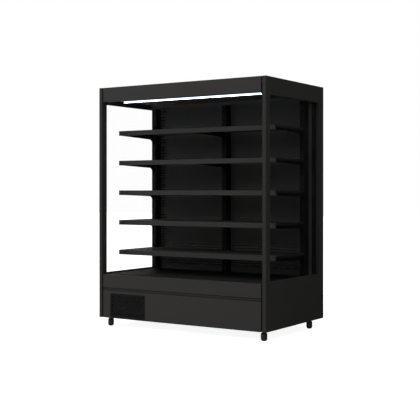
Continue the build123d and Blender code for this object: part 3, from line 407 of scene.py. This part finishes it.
# Painted shade: the fins are far darker than bare aluminium, so the vent in front of them reads dark.
bare_metal("fin_aluminium", cloudy_metal, (0.20, 0.205, 0.21), (0.14, 0.145, 0.15), 60.0, 0.45, 0.65)
bare_metal("copper_pipe", cloudy_metal, (0.50, 0.29, 0.19), (0.26, 0.14, 0.09), 25.0, 0.3, 0.5)
print(len(finishes), "finishes with the metals")

# %% [markdown]
# ## Glass and the light's lens
# The end panes are almost invisible in the photograph, so the glass keeps its full transmission
# and only a weak reflection. The lens is a bluish white strip: it glows where the diodes sit
# behind it and falls off to its two edges, so the glow is masked by the distance across it.

# %% Glass
glass, shader = plain_surface("toughened_glass", (1.0, 1.0, 1.0), 0.0)
shader.inputs["Transmission Weight"].default_value = 1.0
shader.inputs["IOR"].default_value = 1.12
finishes["toughened_glass"] = glass
print("glass with an index of", round(shader.inputs["IOR"].default_value, 2))

# %% Lens
DIODE_HALF_WIDTH = 4 * MM
DIODE_LIGHT = (0.90, 0.95, 1.0, 1)
EDGE_LIGHT = (0.10, 0.16, 0.26, 1)
LENS_GLOW = 10.0
lens_low, lens_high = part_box("light_diffuser")
lens, shader = plain_surface("light_lens", (0.80, 0.86, 0.92), 0.4)
tree = lens.node_tree
coords = tree.nodes.new("ShaderNodeTexCoord")
parts = tree.nodes.new("ShaderNodeSeparateXYZ")
tree.links.new(coords.outputs["Object"], parts.inputs[0])
offset = math_node(tree, "SUBTRACT", parts.outputs["Y"], (lens_low.y + lens_high.y) / 2)
away = math_node(tree, "ABSOLUTE", offset, 0)
edge = tree.nodes.new("ShaderNodeMapRange")
edge.interpolation_type = "SMOOTHSTEP"
edge.inputs["From Min"].default_value = DIODE_HALF_WIDTH
edge.inputs["From Max"].default_value = (lens_high.y - lens_low.y) / 2
tint = tree.nodes.new("ShaderNodeMix")
tint.data_type = "RGBA"
tint.inputs["A"].default_value = DIODE_LIGHT
tint.inputs["B"].default_value = EDGE_LIGHT
tree.links.new(away, edge.inputs["Value"])
tree.links.new(edge.outputs["Result"], tint.inputs["Factor"])
tree.links.new(tint.outputs["Result"], shader.inputs["Emission Color"])
shader.inputs["Emission Strength"].default_value = LENS_GLOW
finishes["light_lens"] = lens
print("lens", round((lens_high.y - lens_low.y) / MM), "mm wide")

# %% Give every CAD part its finish
slot_of = {part["node"]: part["material_slot"] for part in frame["record"]["subparts"]}
for node, part in frame["nodes"].items():
    if not part.material_slots:
        part.data.materials.append(None)
    for holder in part.material_slots:
        holder.material = finishes[slot_of[node]]
print(len(frame["nodes"]), "parts painted in", len(set(slot_of.values())), "finishes")

# %% [markdown]
# ## Helpers for new pieces
# A new piece is shaped as a bmesh in its place. `place_piece` turns it into an object at the
# origin, cleans it, and says what it rides on, which CAD parts it stands for and its finish.


# %% Helpers
MERGE_DISTANCE = 0.001 * MM
SMOOTH_ANGLE = math.radians(35)


def add_block(bm, low, high):
    """A box between two corners."""
    size = Vector(high) - Vector(low)
    centre = (Vector(high) + Vector(low)) / 2
    bmesh.ops.create_cube(bm, size=1, matrix=Matrix.Translation(centre) @ Matrix.Diagonal((*size, 1)))


def only_verts(geometry):
    """The vertices in what a bmesh operator returned."""
    return [part for part in geometry if isinstance(part, bmesh.types.BMVert)]


def linked(verts, kind):
    """The "link_edges" or "link_faces" of some vertices, each once, in the same order every run."""
    return list(dict.fromkeys(part for vert in verts for part in getattr(vert, kind)))


# %% Finished piece
def settle_order(bm):
    """Sort the faces by their vertices, because extruding leaves them in a new order each run."""
    bm.verts.index_update()
    ordered = sorted(bm.faces, key=lambda face: sorted(vert.index for vert in face.verts))
    for place, face in enumerate(ordered):
        face.index = place
    bm.faces.sort()


def place_piece(bm, name, slot, body, *nodes, soft=False):
    """Finish a bmesh as a named piece of the cabinet."""
    bmesh.ops.remove_doubles(bm, verts=bm.verts, dist=MERGE_DISTANCE)
    bmesh.ops.recalc_face_normals(bm, faces=bm.faces)
    settle_order(bm)
    mesh = bpy.data.meshes.new(name)
    bm.to_mesh(mesh)
    bm.free()
    mesh.materials.append(finishes[slot])
    if soft:
        mesh.shade_smooth()
        mesh.set_sharp_from_angle(angle=SMOOTH_ANGLE)
    piece = bpy.data.objects.new(name, mesh)
    scene.collection.objects.link(piece)
    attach(piece, body)
    if nodes:
        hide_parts(*nodes)
    print(name, len(mesh.polygons), "faces")
    return piece


# %% [markdown]
# ## Perforated duct panels
# Chilled air leaves the back of the cabinet through rows of short slots. A slotted sheet is a
# grid whose lines are moved to the slot edges, with the faces inside the slots deleted; Solidify
# then gives the sheet its thickness and the slots their edges. The sheet's turned-back side, its
# ledge over the deck and its skirt are separate strips, and a rubber strip closes the gap between
# the side and the back wall.


# %% Grid lines
def line_places(low, high, margin, count, slot):
    """Grid lines for `count` slots spread between two ends, leaving a plain margin."""
    pitch = (high - low - 2 * margin) / count
    places = [low]
    for step in range(count):
        middle = low + margin + pitch * (step + 0.5)
        places += [middle - slot / 2, middle + slot / 2]
    return places + [high]


# %% Slotted sheet
def slotted_sheet(bm, xs, zs, y):
    """A sheet facing the front at y, with a hole in every second cell both ways."""
    made = bmesh.ops.create_grid(bm, x_segments=len(xs) - 1, y_segments=len(zs) - 1, size=1)
    verts = made["verts"]
    for vert in verts:
        column = round((vert.co.x + 1) / 2 * (len(xs) - 1))
        row = round((vert.co.y + 1) / 2 * (len(zs) - 1))
        vert.co = (xs[column], y, zs[row])
    holes = []
    for face in linked(verts, "link_faces"):
        middle = face.calc_center_median()
        column = sum(1 for x in xs if x < middle.x)
        row = sum(1 for z in zs if z < middle.z)
        if column % 2 == 0 and row % 2 == 0:
            holes.append(face)
    bmesh.ops.delete(bm, geom=holes, context="FACES")


# %% Measures of the duct
SHEET = 1.2 * MM
REST_GAP = 0.3 * MM
SLOTS_ACROSS = 24
SLOT_ROWS = 55
SLOT_LENGTH = 24.5 * MM
SLOT_HEIGHT = 7.5 * MM
SIDE_MARGIN = 30 * MM
END_MARGIN = 40 * MM
LEDGE_DROP = 3 * MM
SEAL_WIDTH = 3 * MM
SEAL_ROUND = 1.2 * MM
upright_low, upright_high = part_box("upright_center")
wall_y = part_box("back_wall")[0].y
face_y = upright_high.y + REST_GAP
ledge = upright_low.z - LEDGE_DROP
print("duct face at y", round(face_y, 3), "m, ledge at z", round(ledge, 3), "m")


# %% Duct face
def duct_face(side, low, high):
    """The perforated front of one duct panel."""
    bm = bmesh.new()
    xs = line_places(low.x, high.x, SIDE_MARGIN, SLOTS_ACROSS, SLOT_LENGTH)
    zs = line_places(ledge, high.z, END_MARGIN, SLOT_ROWS, SLOT_HEIGHT)
    slotted_sheet(bm, xs, zs, face_y)
    duct = place_piece(bm, f"duct_face_{side}", "duct_paint", "cabinet", f"duct_panel_{side}")
    wall = duct.modifiers.new("thickness", "SOLIDIFY")
    wall.thickness = SHEET
    wall.offset = 1.0


# %% Duct folds
def end_strip(bm, outer, inward, y0, y1, z0, z1):
    """An upright strip at a panel's outer end, as thick as `inward`, which is signed."""
    add_block(bm, (min(outer, outer + inward), y0, z0), (max(outer, outer + inward), y1, z1))


def duct_folds(side, low, high, outer, inward):
    """The turned-back side of a duct panel, its ledge over the deck and its skirt."""
    bm = bmesh.new()
    end_strip(bm, outer, inward * SHEET, face_y + SHEET, high.y, ledge, high.z)
    add_block(bm, (low.x, low.y, ledge - SHEET), (high.x, face_y, ledge))
    add_block(bm, (low.x, low.y, low.z), (high.x, low.y + SHEET, ledge - SHEET))
    place_piece(bm, f"duct_folds_{side}", "duct_paint", "cabinet", f"duct_panel_{side}")


# %% Duct end seal
def duct_end_seal(side, high, outer, inward):
    """A rounded rubber strip between the turned-back side and the back wall."""
    bm = bmesh.new()
    end_strip(bm, outer, inward * SEAL_WIDTH, high.y + REST_GAP, wall_y - REST_GAP, ledge, high.z)
    edges = [edge for edge in bm.edges if abs(edge.verts[0].co.z - edge.verts[1].co.z) > SHEET]
    bmesh.ops.bevel(bm, geom=edges, offset=SEAL_ROUND, segments=3, profile=0.5, affect="EDGES", material=-1)
    place_piece(bm, f"duct_end_seal_{side}", "black_rubber", "cabinet", soft=True)


# %% Both duct panels
for side, inward in (("left", 1), ("right", -1)):
    low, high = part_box(f"duct_panel_{side}")
    outer = low.x if side == "left" else high.x
    duct_face(side, low, high)
    duct_folds(side, low, high, outer, inward)
    duct_end_seal(side, high, outer, inward)

# %% [markdown]
# ## Honeycomb air outlet
# The air curtain starts at a honeycomb strip in the canopy, which makes the air run straight. One
# cell is a hexagonal ring pulled up into a short tube, and its copies share their walls.

# %% One cell
CELL_OUTER = 5.2 * MM
CELL_INNER = 4.8 * MM
honey_low, honey_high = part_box("honeycomb")
bm = bmesh.new()
bmesh.ops.create_circle(bm, cap_ends=False, segments=6, radius=CELL_OUTER)
bmesh.ops.create_circle(bm, cap_ends=False, segments=6, radius=CELL_INNER)
rim = bmesh.ops.bridge_loops(bm, edges=bm.edges[:])["faces"]
raised = bmesh.ops.extrude_face_region(bm, geom=rim)["geom"]
bmesh.ops.translate(bm, verts=only_verts(raised), vec=(0, 0, honey_high.z - honey_low.z))
bmesh.ops.rotate(bm, verts=bm.verts[:], matrix=Matrix.Rotation(math.radians(30), 3, "Z"))
print("one cell has", len(bm.faces), "faces")

# %% All the cells and their frame
END_INSET = 12 * MM
SIDE_INSET = 8 * MM
FRAME_INSET = 6 * MM
FRAME_WALL = 2 * MM
step_x = CELL_OUTER * math.sqrt(3)
step_y = CELL_OUTER * 1.5
columns = int((honey_high.x - honey_low.x - 2 * END_INSET) // step_x)
rows = int((honey_high.y - honey_low.y - 2 * SIDE_INSET) // step_y)
first = bm.verts[:] + bm.edges[:] + bm.faces[:]
middle = (honey_low + honey_high) / 2
for row in range(rows):
    for column in range(columns):
        copied = bmesh.ops.duplicate(bm, geom=first)["geom"]
        shift = ((column - (columns - 1) / 2 + (row % 2) * 0.5 - 0.25) * step_x + middle.x,
                 (row - (rows - 1) / 2) * step_y + middle.y, honey_low.z)
        bmesh.ops.translate(bm, verts=only_verts(copied), vec=shift)
bmesh.ops.delete(bm, geom=only_verts(first), context="VERTS")
half_y = rows * step_y / 2 + FRAME_WALL
frame_x0 = honey_low.x + FRAME_INSET
frame_x1 = honey_high.x - FRAME_INSET
for x0, x1, y0, y1 in ((frame_x0, frame_x1, middle.y - half_y - FRAME_WALL, middle.y - half_y),
                       (frame_x0, frame_x1, middle.y + half_y, middle.y + half_y + FRAME_WALL),
                       (frame_x0, frame_x0 + FRAME_WALL, middle.y - half_y, middle.y + half_y),
                       (frame_x1 - FRAME_WALL, frame_x1, middle.y - half_y, middle.y + half_y)):
    add_block(bm, (x0, y0, honey_low.z), (x1, y1, honey_high.z))
place_piece(bm, "honeycomb_outlet", "honeycomb_plastic", "cabinet", "honeycomb")
print(columns * rows, "cells")

# %% [markdown]
# ## Fins, tubes and return bends
# Both coils are made alike: a row of thin aluminium plates on copper tubes, whose ends are joined
# by U-shaped bends. The plates are thin blocks, each tube is a plain cylinder along the coil, and
# a bend is a circle of the same size spun through half a turn.


# %% Fins
def fin_row(bm, low, high, pitch, thickness):
    """Thin plates across X, filling the block between two corners."""
    count = int((high.x - low.x) / pitch)
    for step in range(count + 1):
        x = low.x + (high.x - low.x - thickness) * step / count
        add_block(bm, (x, low.y, low.z), (x + thickness, high.y, high.z))
    return count + 1


# %% Tubes and bend
def tube_pair(bm, x0, x1, y, z, rise, radius, sides=10):
    """Two tubes along X, one above the other, and the bend that joins them at x1."""
    across = Matrix.Rotation(math.pi / 2, 4, "Y")
    for height in (z, z + rise):
        bmesh.ops.create_cone(bm, cap_ends=True, segments=sides, radius1=radius, radius2=radius,
                              depth=x1 - x0, matrix=Matrix.Translation(((x0 + x1) / 2, y, height)) @ across)
    ring = bmesh.ops.create_circle(bm, segments=sides, radius=radius,
                                   matrix=Matrix.Translation((x1, y, z)) @ across)
    edges = linked(ring["verts"], "link_edges")
    bmesh.ops.spin(bm, geom=ring["verts"] + edges, cent=(x1, y, z + rise / 2), axis=(0, -1, 0),
                   dvec=(0, 0, 0), angle=math.pi, steps=8)


# %% A whole coil
FIN_THICKNESS = 0.3 * MM
TUBE_RADIUS = 4.8 * MM
PLATE_MARGIN = 3 * MM
TUBE_START = 4 * MM
TUBE_PAIRS = 4


def dress_coil(name, node, low, high, columns, pitch):
    """Fins from `low` to `high` between the coil's end plates, with tubes through them."""
    bm = bmesh.new()
    count = fin_row(bm, low, high, pitch, FIN_THICKNESS)
    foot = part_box(node)[0].z
    for x in (low.x - SHEET, high.x):
        add_block(bm, (x, low.y - PLATE_MARGIN, foot), (x + SHEET, high.y, high.z + PLATE_MARGIN))
    place_piece(bm, f"{name}_fins", "fin_aluminium", "cabinet", node)
    bm = bmesh.new()
    rise = (high.z - low.z) / (2 * TUBE_PAIRS)
    for share in columns:
        for pair in range(TUBE_PAIRS):
            tube_pair(bm, low.x - TUBE_START, high.x + PLATE_MARGIN, low.y + (high.y - low.y) * share,
                      low.z + rise * (2 * pair + 0.5), rise, TUBE_RADIUS)
    place_piece(bm, f"{name}_tubes", "copper_pipe", "cabinet", node, soft=True)
    print(name, count, "fins", 2 * TUBE_PAIRS * len(columns), "tubes")


# %% Evaporator
LEG_HEIGHT = 39.7 * MM
FIN_INSET = 4 * MM
low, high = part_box("evaporator_coil")
fins_low = Vector((low.x + SHEET, low.y + FIN_INSET, low.z + LEG_HEIGHT))
fins_high = Vector((-low.x - SHEET, high.y - FIN_INSET, high.z - FIN_INSET))
dress_coil("evaporator", "evaporator_coil", fins_low, fins_high, columns=(0.25, 0.75), pitch=5 * MM)

# %% Condenser
low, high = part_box("condenser_coil")
shroud_low, shroud_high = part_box("fan_shroud")
fins_low = Vector((shroud_low.x + SHEET, low.y + 1 * MM, low.z))
fins_high = Vector((shroud_high.x - SHEET, high.y, shroud_high.z))
dress_coil("condenser", "condenser_coil", fins_low, fins_high, columns=(0.28, 0.72), pitch=3 * MM)

# %% [markdown]
# ## Fan guards
# Every fan has a wire guard against fingers: rings of wire on a few spokes, or behind the
# condenser on the arms that hold the motor. A ring is a small circle spun once round the fan's axis.


# %% Wire ring
def wire_ring(bm, centre, axis, radius, wire, steps=32):
    """One closed ring of wire round an axis through `centre`."""
    axis = Vector(axis)
    out = axis.orthogonal().normalized()
    side = axis.cross(out)
    turn = Matrix((out, axis, side)).transposed().to_4x4()
    start = Matrix.Translation(Vector(centre) + out * radius) @ turn
    section = bmesh.ops.create_circle(bm, segments=6, radius=wire, matrix=start)
    edges = linked(section["verts"], "link_edges")
    bmesh.ops.spin(bm, geom=section["verts"] + edges, cent=centre, axis=axis, dvec=(0, 0, 0),
                   angle=2 * math.pi, steps=steps, use_merge=True)


# %% Straight wire
def wire_rod(bm, start, end, wire):
    """A straight wire between two points."""
    turn = (end - start).to_track_quat("Z", "Y").to_matrix().to_4x4()
    bmesh.ops.create_cone(bm, cap_ends=True, segments=6, radius1=wire, radius2=wire,
                          depth=(end - start).length, matrix=Matrix.Translation((start + end) / 2) @ turn)


# %% Evaporator fan guards stand on the fan plate
WIRE = 1.2 * MM
GUARD_HEIGHT = 29 * MM
GUARD_RADII = [radius * MM for radius in (22, 34, 46, 58, 68)]
SPOKES = 6
plate_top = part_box("fan_plate")[1].z
bm = bmesh.new()
for number in (1, 2, 3):
    low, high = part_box(f"evaporator_fan_{number}")
    crown = Vector(((low.x + high.x) / 2, (low.y + high.y) / 2, plate_top + GUARD_HEIGHT))
    for radius in GUARD_RADII:
        wire_ring(bm, crown, (0, 0, 1), radius, WIRE)
    for spoke in range(SPOKES):
        angle = 2 * math.pi * (spoke + 0.5) / SPOKES
        across = Vector((math.cos(angle), math.sin(angle), 0))
        outer_end = crown + across * GUARD_RADII[-1]
        wire_rod(bm, crown + across * GUARD_RADII[0], outer_end, WIRE)
        wire_rod(bm, outer_end, Vector((outer_end.x, outer_end.y, plate_top)), WIRE)
place_piece(bm, "evaporator_fan_guards", "zinc_steel", "cabinet", soft=True)

# %% Condenser fan guard on the motor's arms
ARM_THICKNESS = 4.3 * MM
WIDE_GUARD_RADII = [radius * MM for radius in (44, 56, 68, 80, 92)]
low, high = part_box("condenser_fan")
centre = (low + high) / 2
guard_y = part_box("fan_shroud")[1].y + ARM_THICKNESS + WIRE
bm = bmesh.new()
for radius in WIDE_GUARD_RADII:
    wire_ring(bm, (centre.x, guard_y, centre.z), (0, 1, 0), radius, WIRE)
place_piece(bm, "condenser_fan_guard", "zinc_steel", "cabinet", soft=True)

# %% [markdown]
# ## Screw heads
# The screws at the back have pan heads with a cross recess. Their places are read from the CAD
# part, solid by solid. A head is a square grid drawn out to a disc, with the cells of a cross in
# its middle pushed in and its rim pulled back to the panel.


# %% Separate solids of a CAD part
def solid_boxes(node):
    """The lowest and highest corner of each separate solid in a CAD part."""
    bm = bmesh.new()
    bm.from_mesh(frame["nodes"][node].data)
    bmesh.ops.remove_doubles(bm, verts=bm.verts, dist=10 * MERGE_DISTANCE)
    seen = set()
    boxes = []
    for start in bm.verts:
        if start in seen:
            continue
        seen.add(start)
        queue = [start]
        group = []
        while queue:
            vert = queue.pop()
            group.append(vert.co.copy())
            for edge in vert.link_edges:
                other = edge.other_vert(vert)
                if other not in seen:
                    seen.add(other)
                    queue.append(other)
        boxes.append((Vector(min(co[i] for co in group) for i in range(3)),
                      Vector(max(co[i] for co in group) for i in range(3))))
    bm.free()
    return boxes


# %% Pan heads
HEAD_RADIUS = 4.2 * MM
HEAD_GRID = 5
CROWN_DROP = 0.35
CROSS_HALF_WIDTH = 0.15
CROSS_REACH = 0.7


def domed_grid(bm, radius, height):
    """A square grid drawn out to a disc round its middle cell, with a low crown."""
    grid = bmesh.ops.create_grid(bm, x_segments=HEAD_GRID, y_segments=HEAD_GRID, size=1)["verts"]
    for vert in grid:
        reach = max(abs(vert.co.x), abs(vert.co.y))
        if reach > 1.5 / HEAD_GRID:
            vert.co.xy = vert.co.xy * (reach / vert.co.xy.length)
        vert.co.xy = vert.co.xy * radius
        vert.co.z = height * (1 - CROWN_DROP * (vert.co.xy.length / radius) ** 2)
    return grid


# %% Cross recess
def in_cross(at):
    """Whether a place on the head, in head radii, lies in the cross recess."""
    near, far = sorted((abs(at.x), abs(at.y)))
    return near < CROSS_HALF_WIDTH and far < CROSS_REACH


def cross_head(bm, centre, height, towards):
    """A pan head with a cross recess; its top faces along Y, forwards or backwards."""
    grid = domed_grid(bm, HEAD_RADIUS, height)
    faces = linked(grid, "link_faces")
    cross = [face for face in faces if in_cross(face.calc_center_median() / HEAD_RADIUS)]
    rim = [edge for edge in linked(grid, "link_edges") if len(edge.link_faces) == 1]
    sunk = only_verts(bmesh.ops.extrude_face_region(bm, geom=cross)["geom"])
    bmesh.ops.delete(bm, geom=cross, context="FACES")
    bmesh.ops.translate(bm, verts=sunk, vec=(0, 0, -height / 2))
    skirt = only_verts(bmesh.ops.extrude_edge_only(bm, edges=rim)["geom"])
    for vert in skirt:
        vert.co.z = 0
    head = [vert for vert in [*grid, *sunk, *skirt] if vert.is_valid]
    turn = Matrix.Translation(centre) @ Matrix.Rotation(math.radians(-90 * towards), 4, "X")
    bmesh.ops.transform(bm, matrix=turn, verts=head)


# %% Screws at the back
bm = bmesh.new()
for low, high in solid_boxes("screws"):
    cross_head(bm, ((low.x + high.x) / 2, low.y, (low.z + high.z) / 2), high.y - low.y, towards=1)
place_piece(bm, "rear_screw_heads", "zinc_steel", "cabinet", "screws")

# %% [markdown]
# ## Trim on the machine parts
# Behind the kick panel the lid of the electrical box gets its four screws, and the compressor gets
# the weld seam that joins the two halves of its shell.

# %% Lid screws of the electrical box
LID_SCREW_INSET = 14 * MM
LID_SCREW_HEIGHT = 2.4 * MM
low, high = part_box("electrical_box")
bm = bmesh.new()
for x in (low.x + LID_SCREW_INSET, high.x - LID_SCREW_INSET):
    for z in (low.z + LID_SCREW_INSET, high.z - LID_SCREW_INSET):
        cross_head(bm, (x, low.y, z), LID_SCREW_HEIGHT, towards=-1)
place_piece(bm, "electrical_box_screws", "zinc_steel", "cabinet")

# %% Weld seam of the compressor
SEAM_RADIUS = 1.6 * MM
low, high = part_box("compressor")
mounts_low, mounts_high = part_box("compressor_mounts")
middle = (mounts_low + mounts_high) / 2
bm = bmesh.new()
wire_ring(bm, (middle.x, middle.y, (low.z + high.z) / 2), (0, 0, 1), high.y - middle.y, SEAM_RADIUS, steps=64)
place_piece(bm, "compressor_seam", "compressor_paint", "cabinet", soft=True)

# %% [markdown]
# ## Threads on the feet
# A levelling foot is turned up or down on its stud, and a few turns of thread show between the
# foot and the base. They are thin enough to pass the hole in the base when the foot is turned up.

# %% Threads
THREAD_TURNS = 5
THREAD_PITCH = 1.75 * MM
THREAD_START = 9 * MM
THREAD_RADIUS = 5.75 * MM
THREAD_WIRE = 0.4 * MM
base_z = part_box("base_frame")[0].z
for place in ("front_left", "front_right", "rear_left", "rear_right"):
    low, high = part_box(f"foot_{place}")
    middle = (low + high) / 2
    bm = bmesh.new()
    for turn in range(THREAD_TURNS):
        height = base_z - THREAD_START + turn * THREAD_PITCH
        wire_ring(bm, (middle.x, middle.y, height), (0, 0, 1), THREAD_RADIUS, THREAD_WIRE, steps=20)
    place_piece(bm, f"foot_thread_{place}", "zinc_steel", f"foot_{place}", soft=True)
